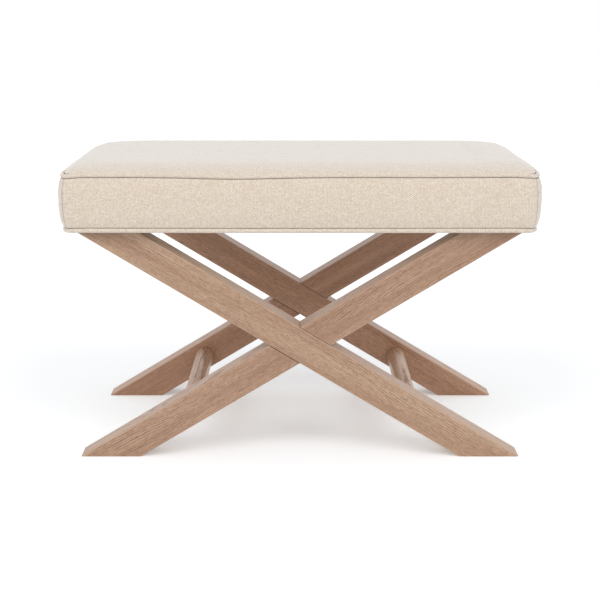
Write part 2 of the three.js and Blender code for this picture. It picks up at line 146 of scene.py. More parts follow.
def lacquered_oak(name, turn, middle, seed, tone_and_shade, ring_wander, half_section=None, mate_turn=None):
    """Ring-porous oak: straight growth rings with darker latewood, fine fibres and short open
    pores that lie in the grain. A bar has paler flat-sawn faces, lifted further with painted light,
    edges rubbed paler still, and a dark glue line where it meets its mate, deepened with painted
    shade. Matt lacquer leaves a soft, broad shine."""
    material, shader, add = start_material(name, {"IOR": LACQUER_IOR})
    place = add("TexCoord").outputs["Object"]
    centred = add("VectorMath", {0: place, 1: middle}, operation="SUBTRACT")
    bar = add("Mapping", {"Vector": centred, "Rotation": turn})
    grain = {}
    for pattern, (sizes, (start, full, least, most)) in OAK_PATTERNS.items():
        stretched = add("Mapping", {
            "Vector": bar,
            "Scale": [1 / size for size in sizes],
            "Location": (seed, 2 * seed, 3 * seed),
        })
        noise = add("TexNoise", {"Vector": stretched, "Scale": 1, "Detail": 2})
        grain[pattern] = add(
            "MapRange", {"Value": noise, 1: start, 2: full, 3: least, 4: most},
            interpolation_type="SMOOTHSTEP" if pattern == "pores" else "LINEAR")

    section = add("VectorMath", {0: bar, 1: (0, RING_LEAN, 1)}, operation="DOT_PRODUCT")
    ring_place = add(
        "Math", {0: grain["wander"], 1: ring_wander, 2: section}, operation="MULTIPLY_ADD")
    from_ring = add("Math", {0: ring_place, 1: RING_SPACING / 2}, operation="PINGPONG")
    ring = add("MapRange", {
        "Value": from_ring,
        1: LATEWOOD_EDGES[0] * RING_SPACING,
        2: LATEWOOD_EDGES[1] * RING_SPACING,
    }, interpolation_type="SMOOTHSTEP")
    counted = add("Math", {0: ring_place, 1: RING_SPACING}, operation="DIVIDE")
    ring_number = add("Math", {0: counted}, operation="ROUND")
    year = add("TexWhiteNoise", {"W": ring_number}, noise_dimensions="1D")
    depth = add("MapRange", {"Value": year, 3: LATEWOOD_YEARS[0], 4: LATEWOOD_YEARS[1]})
    broken = add("Math", {0: ring, 1: grain["streaks"]}, operation="MULTIPLY")
    rings = add("Math", {0: broken, 1: depth}, operation="MULTIPLY")
    tones = [
        (grain["tone"], OAK_TAN),
        (grain["fibres"], OAK_LATEWOOD),
        (rings, OAK_LATEWOOD),
        (grain["pores"], OAK_PORE),
    ]

    if half_section:
        across = add("SeparateXYZ", {0: bar}).outputs
        distances = []
        nearness = []
        for axis, half in zip("YZ", half_section):
            distances.append(add("Math", {0: across[axis]}, operation="ABSOLUTE"))
            nearness.append(add(
                "MapRange", {"Value": distances[-1], 1: half - EDGE_WEAR_REACH, 2: half}))
        # The narrow faces, paler for their flat-sawn wood and for painted light
        flat_sawn_and_lit = add("Math", {0: nearness[1], 1: FLAT_SAWN_AND_LIT_SHARE}, operation="MULTIPLY")
        worn = add("Math", {0: nearness[0], 1: nearness[1]}, operation="MULTIPLY")
        mate = add("Mapping", {"Vector": centred, "Rotation": mate_turn})
        over_mate = add("SeparateXYZ", {0: mate}).outputs["Z"]
        from_mate = add("Math", {0: over_mate}, operation="ABSOLUTE")
        half_width = half_section[1]
        touching = add(
            "Math", {0: from_mate, 1: half_width, 2: GLUE_AND_SHADE_REACH}, operation="COMPARE")
        to_cut_side = math.copysign(1, turn[1])
        depth_place = add("Math", {0: across["Y"], 1: to_cut_side}, operation="MULTIPLY")
        cut_side = add("Math", {0: depth_place, 1: 0}, operation="LESS_THAN")
        narrow_face = add(
            "Math", {0: distances[1], 1: half_width - GLUE_AND_SHADE_REACH / 2},
            operation="GREATER_THAN")
        shows = add("Math", {0: cut_side, 1: narrow_face}, operation="MAXIMUM")
        # The glue line with painted shade of the gap, on the cut side and the narrow faces
        glued_and_shaded = add("Math", {0: touching, 1: shows}, operation="MULTIPLY")
        tones += [(flat_sawn_and_lit, OAK_FLAT_SAWN_AND_LIT), (worn, OAK_WORN), (glued_and_shaded, GLUE_LINE_AND_SHADE)]

    colour = OAK_PALE
    for share, tone in tones:
        colour = add("Mix", {FACTOR: share, FIRST: colour, SECOND: tone}, data_type="RGBA")
    # Each bar's own tone, with the rear legs' painted shade, multiplied over its colours
    toned_and_shaded = add(
        "Mix", {FACTOR: 1, FIRST: colour, SECOND: tone_and_shade},
        data_type="RGBA", blend_type="MULTIPLY")
    roughness = add("MapRange", {"Value": rings, 3: LACQUER_ROUGHNESS[0], 4: LACQUER_ROUGHNESS[1]})
    relief = add("Math", {0: rings, 1: grain["pores"]}, operation="ADD")
    sunk = add("Math", {0: 1, 1: relief}, operation="SUBTRACT")
    bump = add("Bump", {"Height": sunk, **OAK_RELIEF})
    set_inputs(shader, {"Base Color": toned_and_shaded, "Roughness": roughness, "Normal": bump})
    return material


for number, (leg, tone_and_shade) in enumerate(LEG_TONES_AND_SHADE.items(), 1):
    cross, side = leg.split("_")
    low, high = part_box(f"{cross}_leg_{side}")
    spread, depth, height = high - low
    slope = math.asin(BAR_WIDTH / math.hypot(spread, height)) + math.atan2(height, spread)
    turn = slope if side == "left" else -slope
    dress(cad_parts[f"{cross}_leg_{side}"], lacquered_oak(
        f"lacquered_oak_{leg}", (0, turn, 0), (low + high) / 2, LEG_SEED_STEP * number, tone_and_shade,
        LEG_RING_WANDER, (depth / 2, BAR_WIDTH / 2), (0, -turn, 0)))

# The stretchers
# Two round bars turned from the same oak, with the grain along them. A thinner tenon at each end
# is glued into a blind hole in the leg, so the shoulder sits tight against the leg's inner face.
STRETCHER_SIDES = 64
STRETCHER_STAIN = "#FFFAF1"
STRETCHER_SEEDS = {"left": 11.9, "right": 23.1}
# They are turned from straighter wood than the bars
STRETCHER_RING_WANDER = 0.006
TENON_RADIUS = 0.011
TENON_CHAMFER = 0.002
SHOULDER_EASE = 0.0006
SHOULDER_GAP = 0.0003
SMOOTH_ANGLE = math.radians(35)
# A face looks along an axis when its normal has this share of it
FACING = 0.9
# A point lies on a plane or a circle when it is this close to it, and on another point likewise
TOUCH = 1e-5
MERGE = 1e-6


def choose(piece, kind, test):
    """In edit mode, selects the faces or edges of a piece that pass a test, and nothing else."""
    bpy.ops.mesh.select_mode(type=kind)
    bpy.ops.mesh.select_all(action="DESELECT")
    mesh = bmesh.from_edit_mesh(piece.data)
    for part in mesh.faces if kind == "FACE" else mesh.edges:
        if test(part):
            part.select_set(True)
    bmesh.update_edit_mesh(piece.data)


def start_primitive(name, add, **settings):
    """Adds a primitive at its place, with nothing else selected, and goes into edit mode."""
    bpy.ops.object.select_all(action="DESELECT")
    add(**settings)
    piece = bpy.context.object
    piece.name = piece.data.name = name
    bpy.ops.object.transform_apply(location=True, rotation=True, scale=True)
    bpy.ops.object.mode_set(mode="EDIT")
    return piece


def extrude(x, y, z):
    """Draws the chosen faces out by this much."""
    bpy.ops.mesh.extrude_region_move(TRANSFORM_OT_translate={"value": (x, y, z)})


def bevel_edges(piece, offset, segments, test):
    """Bevels the edges of a piece that pass a test."""
    choose(piece, "EDGE", test)
    bpy.ops.mesh.bevel(offset=offset, segments=segments, affect="EDGES")


def finish_solid(piece):
    """Leaves edit mode, with the faces pointing out and the curved ones smooth."""
    bpy.ops.mesh.select_all(action="SELECT")
    bpy.ops.mesh.remove_doubles(threshold=MERGE)
    bpy.ops.mesh.normals_make_consistent(inside=False)
    bpy.ops.object.mode_set(mode="OBJECT")
    bpy.ops.object.shade_smooth_by_angle(angle=SMOOTH_ANGLE)


def hand_in(piece, node):
    """Puts a finished piece in the place of the plain solid that it stands for."""
    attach(piece, "root")
    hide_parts(node)


shoulder = abs(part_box("front_leg_left")[1].y) - SHOULDER_GAP
for side, seed in STRETCHER_SEEDS.items():
    low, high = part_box(f"{side}_stretcher")
    middle = (low + high) / 2
    radius = (high.z - low.z) / 2
    rod = start_primitive(
        f"{side}_stretcher_turned", bpy.ops.mesh.primitive_cylinder_add,
        vertices=STRETCHER_SIDES, radius=radius, depth=2 * shoulder,
        location=middle, rotation=(math.pi / 2, 0, 0))
    for end in (-1, 1):
        choose(rod, "FACE", lambda face: face.normal.y * end > FACING)
        bpy.ops.mesh.inset(thickness=radius - TENON_RADIUS)
        extrude(0, end * (high.y - shoulder), 0)
    bevel_edges(rod, offset=TENON_CHAMFER, segments=1, test=lambda edge: all(
        abs(abs(v.co.y) - high.y) < TOUCH for v in edge.verts))
    bevel_edges(rod, offset=SHOULDER_EASE, segments=3, test=lambda edge: all(
        abs(abs(v.co.y) - shoulder) < TOUCH
        and math.hypot(v.co.x - middle.x, v.co.z - middle.z) > radius - TOUCH
        for v in edge.verts))
    finish_solid(rod)
    dress(rod, lacquered_oak(
        f"turned_oak_{side}", (0, 0, math.pi / 2), middle, seed, STRETCHER_STAIN,
        STRETCHER_RING_WANDER))
    hand_in(rod, f"{side}_stretcher")

# The deck
# Birch plywood that the cushion is built on and the legs are bolted to. Its faces show the grain
# of the outer veneer, and its sawn edge shows the layers.
VENEER_THICKNESS = 0.0014
BIRCH_PALE = "#D9BD92"
BIRCH_DARK = "#BC9868"
BIRCH_EDGE = "#8F6E48"
# The figure's length along the grain, and its breadth
BIRCH_FIGURE = (0.180, 0.009, 0.009)
# How dark the crosswise layers are, where they start, as shares of a layer, and the slopes
# between which a face turns into an edge
CROSSWISE_DARKNESS = 0.7
CROSSWISE_EDGES = (0.45, 0.55)
EDGE_SLOPES = (0.6, 0.4)
BIRCH_RELIEF = {"Strength": 0.3, "Distance": 0.0003}

material, shader, add = start_material("birch_plywood", {"Roughness": 0.7})
place = add("TexCoord").outputs["Object"]
stretched = add("Mapping", {"Vector": place, "Scale": [1 / size for size in BIRCH_FIGURE]})
figure = add("TexNoise", {"Vector": stretched, "Scale": 1, "Detail": 4})
faces = add("Mix", {FACTOR: figure, FIRST: BIRCH_PALE, SECOND: BIRCH_DARK}, data_type="RGBA")
height = add("SeparateXYZ", {0: place}).outputs["Z"]
layer = add("Math", {0: height, 1: 2 * VENEER_THICKNESS}, operation="PINGPONG")
crosswise = add("MapRange", {
    "Value": layer,
    1: CROSSWISE_EDGES[0] * VENEER_THICKNESS,
    2: CROSSWISE_EDGES[1] * VENEER_THICKNESS,
    4: CROSSWISE_DARKNESS,
})
upright = add("SeparateXYZ", {0: add("NewGeometry").outputs["Normal"]})
level = add("Math", {0: upright.outputs["Z"]}, operation="ABSOLUTE")
edge = add("MapRange", {"Value": level, 1: EDGE_SLOPES[0], 2: EDGE_SLOPES[1]})
striped = add("Math", {0: crosswise, 1: edge}, operation="MULTIPLY")
colour = add("Mix", {FACTOR: striped, FIRST: faces, SECOND: BIRCH_EDGE}, data_type="RGBA")
bump = add("Bump", {"Height": figure, **BIRCH_RELIEF})
set_inputs(shader, {"Base Color": colour, "Normal": bump})
dress(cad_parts["seat_deck"], material)

# The dust cover
# A thin undyed non-woven cloth under the deck, cut to its outline and held up by wire staples
# near its edge. It sags a little between them, and throws a pale light on the legs' tops.
SIDE_BOW = 0.0036
CORNER_RADIUS = 0.024
LEAST_CORNER_RADIUS = 0.003
RIGHT, REAR, LEFT, FRONT = SIDES = range(4)
CAMBRIC_STEP = 0.012
CAMBRIC_THICKNESS = 0.0005
CAMBRIC_SAG = 0.0014
CAMBRIC_SAG_REACH = 0.045
CAMBRIC_PALE = "#E3DCD0"
CAMBRIC_SHADE = "#CBC3B5"
CAMBRIC_FIBRE = 0.0014
CAMBRIC_CRIMP = 1.5
CAMBRIC_SURFACE = {"Roughness": 0.92}
CAMBRIC_RELIEF = {"Strength": 0.5, "Distance": 0.0003}
STAPLE_SET_IN = 0.010

piping_low, piping_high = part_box("top_piping")
half_length = piping_high.x - SIDE_BOW
half_depth = piping_high.y - SIDE_BOW


def seat_outline(set_in, side, places):
    """x and y of points on the seat's plan, a rounded rectangle whose sides bow out, set in from
    the piping. A place runs from 0 at the middle of a corner to 1 and 2, where the side's
    straight starts and ends, and 3 at the middle of the next corner, going round leftwards."""
    halves = (half_length, half_depth)
    half_out, half_along = halves if side in (RIGHT, LEFT) else halves[::-1]
    radius = np.maximum(CORNER_RADIUS - set_in, LEAST_CORNER_RADIUS)
    turn = (np.minimum(places - 1, 0) + np.maximum(places - 2, 0)) * math.pi / 4
    out = half_out - set_in - radius + radius * np.cos(turn)
    straight = 2 * np.clip(places - 1, 0, 1) - 1
    along = straight * (half_along - set_in - radius) + radius * np.sin(turn)
    x, y = {
        RIGHT: (out, along),
        REAR: (-along, out),
        LEFT: (-out, -along),
        FRONT: (along, -out),
    }[side]
    x_share = x / (half_length - set_in)
    y_share = y / (half_depth - set_in)
    return (
        x + SIDE_BOW * x_share * (1 - y_share ** 2),
        y + SIDE_BOW * y_share * (1 - x_share ** 2))


def side_length(side):
    """How long a side is, from the middle of one corner to the middle of the next."""
    half_along = half_depth if side in (RIGHT, LEFT) else half_length
    return 2 * (half_along - CORNER_RADIUS) + CORNER_RADIUS * math.pi / 2


def places_at(side, distances):
    """The places of points at these distances from the middle of a side's first corner."""
    arc = CORNER_RADIUS * math.pi / 4
    return np.interp(distances, [0, arc, side_length(side) - arc, side_length(side)], [0, 1, 2, 3])


def ring(set_in, step):
    """The points of each side all the way round, as many at every set-in."""
    sides = []
    for side in SIDES:
        count = round(side_length(side) / step)
        distances = np.arange(count) * side_length(side) / count
        sides.append(np.stack(seat_outline(set_in, side, places_at(side, distances)), axis=1))
    return sides


def patch(sides):
    """A grid of points that fills a ring: rows from the front to the rear, each from the left."""
    whole = [
        np.vstack([side, sides[(number + 1) % len(SIDES)][0]])
        for number, side in enumerate(sides)]
    right, rear, left, front = whole[RIGHT], whole[REAR][::-1], whole[LEFT][::-1], whole[FRONT]
    up = ((right[:, 1] - right[0, 1]) / (right[-1, 1] - right[0, 1]))[:, None, None]
    over = ((front[:, 0] - front[0, 0]) / (front[-1, 0] - front[0, 0]))[None, :, None]
    between_ends = (1 - over) * left[:, None] + over * right[:, None]
    between_sides = (1 - up) * front[None] + up * rear[None]
    between_corners = (
        (1 - up) * ((1 - over) * front[0] + over * front[-1])
        + up * ((1 - over) * rear[0] + over * rear[-1]))
    return between_ends + between_sides - between_corners


def grid_corners(rows, columns, closed=False):
    """The row and column of each corner of each face of a grid. A closed grid also joins its
    last row and column to its first."""
    row, column = np.meshgrid(
        np.arange(rows if closed else rows - 1),
        np.arange(columns if closed else columns - 1), indexing="ij")
    corners = [(row, column), (row, column + 1), (row + 1, column + 1), (row + 1, column)]
    return np.stack([np.stack(corner, axis=-1) for corner in corners], axis=-2).reshape(-1, 4, 2)


def add_object(name, data):
    """A new object in the scene."""
    made = bpy.data.objects.new(name, data)
    scene.collection.objects.link(made)
    return made


def place_copy(name, model, matrix):
    """A copy of a piece, with its points moved by a matrix."""
    data = model.data.copy()
    data.name = name
    data.transform(matrix)
    return add_object(name, data)


def cloth_mesh(name, points, faces, flat_places):
    """A piece of cloth. flat_places has each face's corners as they lie in the flat cloth."""
    mesh = bpy.data.meshes.new(name)
    mesh.from_pydata(points.reshape(-1, 3).tolist(), [], faces.tolist())
    flat = mesh.uv_layers.new(name="flat_cloth")
    flat.data.foreach_set("uv", flat_places.astype(np.float32).ravel())
    mesh.shade_smooth()
    return add_object(name, mesh)


def cloth_grid(name, points, flat_points):
    """A piece of cloth from a grid of points. flat_points has where each lies in the flat cloth."""
    corners = grid_corners(*points.shape[:2])
    row, column = corners[..., 0], corners[..., 1]
    return cloth_mesh(name, points, row * points.shape[1] + column, flat_points[row, column])


def apply_modifier(piece, kind, **settings):
    """Adds a modifier to a piece and applies it."""
    modifier = piece.modifiers.new(kind.lower(), kind)
    for name, value in settings.items():
        setattr(modifier, name, value)
    with bpy.context.temp_override(object=piece, active_object=piece):
        bpy.ops.object.modifier_apply(modifier=modifier.name)


def thicken(piece, thickness):
    """Gives cloth its thickness on the inside, and rounds it."""
    apply_modifier(piece, "SOLIDIFY", thickness=thickness, offset=-1)
    apply_modifier(piece, "SUBSURF", levels=1, render_levels=1)


def bonded_fibres(name, surface, fibre, crimp, shade, pale, relief):
    """Matt fibres that lie every way and are bonded where they cross, a little darker between."""
    material, shader, add = start_material(name, surface)
    place = add("TexCoord").outputs["Object"]
    fibres = add("TexNoise", {
        "Vector": place, "Scale": 1 / fibre, "Detail": 4, "Distortion": crimp})
    colour = add("Mix", {FACTOR: fibres, FIRST: shade, SECOND: pale}, data_type="RGBA")
    bump = add("Bump", {"Height": fibres, **relief})
    set_inputs(shader, {"Base Color": colour, "Normal": bump})
    return material


cambric_low, cambric_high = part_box("dust_cover")
cloth_set_in = piping_high.y - cambric_high.y
plan = patch(ring(cloth_set_in, CAMBRIC_STEP))
x, y = plan[..., 0], plan[..., 1]
leg_low, leg_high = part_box("rear_leg_left")
leg_top_start = leg_high.x - BAR_WIDTH / math.sin(slope)
beyond_leg = np.hypot(
    np.maximum(leg_top_start - abs(x), 0),
    np.maximum(abs(abs(y) - (leg_low.y + leg_high.y) / 2) - (leg_high.y - leg_low.y) / 2, 0))
within_edge = np.minimum(cambric_high.x - abs(x), cambric_high.y - abs(y)) - STAPLE_SET_IN
loose = np.clip(np.minimum(beyond_leg, within_edge) / CAMBRIC_SAG_REACH, 0, 1)
z = cambric_high.z - CAMBRIC_SAG * loose ** 2 * (3 - 2 * loose)
cambric = cloth_grid("dust_cover_cloth", np.dstack([x, y, z]), plan)
thicken(cambric, CAMBRIC_THICKNESS)
dress(cambric, bonded_fibres(
    "spunbonded_cambric", CAMBRIC_SURFACE, CAMBRIC_FIBRE, CAMBRIC_CRIMP, CAMBRIC_SHADE,
    CAMBRIC_PALE, CAMBRIC_RELIEF))
hand_in(cambric, "dust_cover")

# The staples
# Flattened steel wire, bent square, grey with zinc and softly shiny. They are all of one
# shape, and are driven through the cloth into the deck.
STAPLE_SPACING = 0.042
STAPLE_SPAN = 0.010
STAPLE_WIRE = 0.0009
STAPLE_LEG = 0.006
STAPLE_STEEL = "#A9ACB0"

staple = start_primitive(
    "staple", bpy.ops.mesh.primitive_cube_add, size=1, scale=(STAPLE_SPAN, STAPLE_WIRE, STAPLE_WIRE))
for end in (-1, 1):
    bpy.ops.mesh.select_all(action="SELECT")
    bpy.ops.mesh.bisect(plane_co=(end * (STAPLE_SPAN / 2 - STAPLE_WIRE), 0, 0), plane_no=(1, 0, 0))
choose(staple, "FACE", lambda face: (
    face.normal.z > FACING and abs(face.calc_center_median().x) > STAPLE_SPAN / 2 - STAPLE_WIRE))
extrude(0, 0, STAPLE_LEG)
finish_solid(staple)
copies = []
for side in SIDES:
    count = round(side_length(side) / STAPLE_SPACING)
    distances = (np.arange(count) + 0.5) * side_length(side) / count
    for x, y in zip(*seat_outline(cloth_set_in + STAPLE_SET_IN, side, places_at(side, distances))):
        turned = Matrix.Rotation((side + 1) * math.pi / 2, 4, "Z")
        copies.append(place_copy(
            "dust_cover_staples", staple, Matrix.Translation((x, y, cambric_low.z)) @ turned))
bpy.data.objects.remove(staple)
staples = copies[0]
with bpy.context.temp_override(
        object=staples, active_object=staples, selected_editable_objects=copies):
    bpy.ops.object.join()
wire, *_ = start_material(
    "galvanised_wire", {"Roughness": 0.4, "Metallic": 1, "Base Color": STAPLE_STEEL})
dress(staples, wire)
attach(staples, "root")

# The bolts, washers and tee nuts
# Zinc-plated steel: two hexagon-socket bolts up through the top of each leg bar, each with a
# washer under its head, and a tee nut let into the deck from above, which the bolt screws into.
BOLT_COUNT = 8
BOLT_SIDES = 32
BOLT_RADIUS = 0.003
BOLT_HEAD_HEIGHT = 0.006
SOCKET_SIDES = 6
SOCKET_WIDTH = 0.0058
SOCKET_DEPTH = 0.003
THREAD_PITCH = 0.001
THREAD_TURNS = 18
THREAD_ROOT_SHARE = 0.84
BOLT_EASE = 0.0005
RIM_SIDES = 64
RIM_EASE = 0.00025
BARREL_RADIUS = 0.0045
BARREL_LENGTH = 0.010
BORE_RADIUS = 0.0033
ZINC_BRIGHT = "#C9CDD2"
ZINC_DULL = "#A3A49F"
ZINC_SPANGLE = 0.0025
# The roughness where the plating is brightest, and where it is dullest
ZINC_ROUGHNESS = (0.28, 0.5)
ZINC_RELIEF = {"Strength": 0.2, "Distance": 0.0001}

bolt_low, bolt_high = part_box("seat_bolt_1")
washer_low, washer_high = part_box("bolt_washer_1")
nut_low, nut_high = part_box("tee_nut_1")
bolt_middle = (bolt_low + bolt_high) / 2


def start_turned(name, sides, radius, low, high):
    """Starts a piece that stands on the first bolt's axis, between two heights."""
    return start_primitive(
        name, bpy.ops.mesh.primitive_cylinder_add, vertices=sides, radius=radius, depth=high - low,
        location=(bolt_middle.x, bolt_middle.y, (low + high) / 2))


def bore_and_ease(piece, low_radius, rim):
    """Opens a round hole up through a turned piece whose lower end has one radius and whose upper
    end has the rim's, eases the rim and finishes the piece."""
    heights = [v.co.z for v in bmesh.from_edit_mesh(piece.data).verts]
    for level, radius in ((min(heights), low_radius), (max(heights), rim)):
        choose(piece, "FACE", lambda face: all(abs(v.co.z - level) < TOUCH for v in face.verts))
        bpy.ops.mesh.inset(thickness=radius - BORE_RADIUS)
        bpy.ops.mesh.delete(type="FACE")
    choose(piece, "EDGE", lambda edge: edge.is_boundary)
    bpy.ops.mesh.bridge_edge_loops()
    bevel_edges(piece, offset=RIM_EASE, segments=2, test=lambda edge: (
        abs(edge.verts[0].co.z - edge.verts[1].co.z) < TOUCH and all(
            math.hypot(v.co.x - bolt_middle.x, v.co.y - bolt_middle.y) > rim - TOUCH
            for v in edge.verts)))
    finish_solid(piece)


head_radius = (bolt_high.x - bolt_low.x) / 2
bolt = start_turned(
    "seat_bolt", BOLT_SIDES, head_radius, bolt_low.z, bolt_low.z + BOLT_HEAD_HEIGHT)
bevel_edges(bolt, offset=BOLT_EASE, segments=3, test=lambda edge: all(
    abs(v.co.z - bolt_low.z) < TOUCH for v in edge.verts))
choose(bolt, "FACE", lambda face: face.normal.z > FACING)
bpy.ops.mesh.inset(thickness=head_radius - BOLT_RADIUS)
shank = bolt_high.z - bolt_low.z - BOLT_HEAD_HEIGHT - (THREAD_TURNS + 0.5) * THREAD_PITCH
extrude(0, 0, shank)
for share in [THREAD_ROOT_SHARE, 1 / THREAD_ROOT_SHARE] * THREAD_TURNS + [THREAD_ROOT_SHARE]:
    extrude(0, 0, THREAD_PITCH / 2)
    bpy.ops.transform.resize(value=(share, share, 1))
finish_solid(bolt)
cutter = start_turned(
    "socket", SOCKET_SIDES, SOCKET_WIDTH / 2, bolt_low.z - SOCKET_DEPTH,
    bolt_low.z + SOCKET_DEPTH)
finish_solid(cutter)
apply_modifier(bolt, "BOOLEAN", object=cutter, operation="DIFFERENCE")
bpy.data.objects.remove(cutter)

washer_rim = (washer_high.x - washer_low.x) / 2
washer = start_turned("bolt_washer", RIM_SIDES, washer_rim, washer_low.z, washer_high.z)
bore_and_ease(washer, washer_rim, washer_rim)

flange = (nut_high.x - nut_low.x) / 2
nut = start_turned("tee_nut", RIM_SIDES, flange, nut_low.z + BARREL_LENGTH, nut_high.z)
choose(nut, "FACE", lambda face: face.normal.z < -FACING)
bpy.ops.mesh.inset(thickness=flange - BARREL_RADIUS)
extrude(0, 0, -BARREL_LENGTH)
bore_and_ease(nut, BARREL_RADIUS, flange)

# Bright, faintly bluish zinc with a duller bloom that differs from crystal to crystal
material, shader, add = start_material("zinc_plating", {"Metallic": 1})
place = add("TexCoord").outputs["Object"]
spangle = add("TexVoronoi", {"Vector": place, "Scale": 1 / ZINC_SPANGLE})
smear = add("TexNoise", {"Vector": place, "Scale": 1 / ZINC_SPANGLE, "Detail": 4})
bloom = add("Mix", {0: 0.5, 2: spangle.outputs["Color"], 3: smear}, data_type="FLOAT")
colour = add("Mix", {FACTOR: bloom, FIRST: ZINC_BRIGHT, SECOND: ZINC_DULL}, data_type="RGBA")
roughness = add("MapRange", {"Value": smear, 3: ZINC_ROUGHNESS[0], 4: ZINC_ROUGHNESS[1]})
bump = add("Bump", {"Height": smear, **ZINC_RELIEF})
set_inputs(shader, {"Base Color": colour, "Roughness": roughness, "Normal": bump})

for model, node in ((bolt, "seat_bolt"), (washer, "bolt_washer"), (nut, "tee_nut")):
    for number in range(1, BOLT_COUNT + 1):
        low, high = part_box(f"{node}_{number}")
        moved = (low + high) / 2 - bolt_middle
        copy = place_copy(
            f"{node}_{number}_turned", model, Matrix.Translation((moved.x, moved.y, 0)))
        dress(copy, material)
        hand_in(copy, f"{node}_{number}")
    bpy.data.objects.remove(model)

# The cushion's cover
# Linen in an oatmeal yarn, plain-woven, cut as a top panel and four boxing panels. They are sewn
# down each corner and to the piping and the welt, and pulled tight over the wadding.
COVER_THICKNESS = 0.0011
SEAM_ROLL = 0.0016
# The first few distances from a seam at which the cloth has points
SEAM_STEPS = (0.00015, 0.0005, 0.001, 0.0016, 0.0027, 0.0044, 0.007)
BOXING_STEP = 0.005
TOP_SEAM_SET_IN = 0.0011
BOTTOM_SEAM_SET_IN = 0.0030
# The puff that the cloth gains between its seams is left out of the bulge and the crown that
# it starts from
BOXING_BULGE = 0.0066
BULGE_PUFF = 0.0010
CROWN_PUFF = 0.0003
BULGE_FULLNESS = 3.2
TOP_STEP = 0.0085
# How far the top panel starts above the middle of the piping, and how far in its points
# follow its edge
CREASE_RISE = 0.0013
RINGS_RUN = 0.080
# How far in from each edge the crown rises, and how full it is there: 2 is a parabola, and more
# is squarer. The ends are filled the fullest.
CROWN_SHAPES = {"end": (0.054, 6.4), "front": (0.105, 4.2), "rear": (0.104, 4.75)}
# How much of the crown the rear corners lose, and how far along and across the seat
CORNER_LOSS = 0.38
CORNER_LOSS_REACHES = (0.047, 0.102)
# Where the sewn top edge dips: x, y, how far the dip reaches, and how deep it is
DIPS = (
    (-0.101, -0.239, 0.083, 0.0026),
    (0.210, -0.239, 0.050, 0.0003),
    (0.378, 0.060, 0.100, 0.0018),
    (-0.378, 0, 0.120, 0.0018),
    (-0.378, -0.160, 0.060, 0.0010),
    (0.120, 0.239, 0.095, 0.0014),
    (-0.230, 0.239, 0.060, 0.0006),
)
# How far in from the seam a dip is lost
DIP_FADE = 0.030
# How far the top seam dips at the corners and the bottom one sags, and how far that reaches
CORNER_DIP = 0.0032
CORNER_SAG = 0.0014
CORNER_REACH = 0.022


def cornerness(x, y):
    """1 at a corner of the plan, falling to 0 away from it."""
    from_corner = np.hypot(abs(x) - half_length, abs(y) - half_depth)
    return np.exp(-(from_corner / CORNER_REACH) ** 2)


def seam_dip(x, y):
    """How far the top seam lies below its level at a point of the plan."""
    dip = np.zeros_like(x)
    for dip_x, dip_y, reach, depth in DIPS:
        dip += depth * np.exp(-((x - dip_x) ** 2 + (y - dip_y) ** 2) / reach ** 2)
    return dip + CORNER_DIP * cornerness(x, y)


def seam_turn(distance):
    """How far cloth turns in at a distance from a seam."""
    share = np.clip(1 - distance / SEAM_ROLL, 0, 1)
    return SEAM_ROLL * (1 - np.sqrt(1 - share ** 2))


def seam_to_seam(length):
    """Distances from one seam to the next, closer together near both."""
    even = np.linspace(SEAM_STEPS[-1], length - SEAM_STEPS[-1], round(length / BOXING_STEP))[1:-1]
    return np.concatenate([SEAM_STEPS, even, length - np.array(SEAM_STEPS[::-1])])


def boxing_line(share):
    """How far in from the piping the boxing lies, at a share of its height."""
    between_seams = BOTTOM_SEAM_SET_IN + (TOP_SEAM_SET_IN - BOTTOM_SEAM_SET_IN) * share
    return between_seams - (BOXING_BULGE - BULGE_PUFF) * (1 - abs(2 * share - 1) ** BULGE_FULLNESS)


boxing_low, boxing_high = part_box("boxing_front")
boxing_height = boxing_high.z - boxing_low.z
up = seam_to_seam(boxing_height)[:, None]
share = up / boxing_height
from_end_seams = np.minimum(up, boxing_height - up)
boxing_set_in = boxing_line(share) + seam_turn(from_end_seams)
panels = {}
from_seams = {}
for side, name in zip(SIDES, ("boxing_right", "boxing_rear", "boxing_left", "boxing_front")):
    along = seam_to_seam(side_length(side))[None, :]
    from_seam = np.minimum(along, side_length(side) - along)
    x, y = seat_outline(boxing_set_in + seam_turn(from_seam), side, places_at(side, along))
    corner_sag = CORNER_SAG * cornerness(x, y) * (1 - share) ** 2
    z = boxing_low.z + up - seam_dip(x, y) * share ** 2 - corner_sag
    from_seams[name] = np.minimum(from_seam, from_end_seams).ravel()
    flat = np.stack(np.broadcast_arrays(along, up), axis=-1)
    panels[name] = cloth_grid(f"{name}_cloth", np.dstack([x, y, z]), flat)

piping_radius = (piping_high.z - piping_low.z) / 2
piping_height = (piping_high.z + piping_low.z) / 2
panel_edge_height = piping_height + CREASE_RISE
panel_set_in = 2 * piping_radius
crown_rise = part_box("top_panel")[1].z - panel_edge_height - CROWN_PUFF


def crown_share(edge, distance):
    """The share of its rise that the crown has at a distance from an edge."""
    run, fullness = CROWN_SHAPES[edge]
    return 1 - (1 - np.clip(distance / run, 0, 1)) ** fullness


def crown_height(x, y):
    """The height of the cushion's top at a point of the plan."""
    from_end = half_length + SIDE_BOW - panel_set_in - abs(x)
    from_front = half_depth + SIDE_BOW - panel_set_in + y
    from_rear = half_depth + SIDE_BOW - panel_set_in - y
    end_reach, rear_reach = CORNER_LOSS_REACHES
    lost = CORNER_LOSS * np.exp(-(from_end / end_reach) ** 2 - (from_rear / rear_reach) ** 2)
    return panel_edge_height + (
        crown_rise * crown_share("end", from_end) * crown_share("front", from_front)
        * crown_share("rear", from_rear) * (1 - lost))


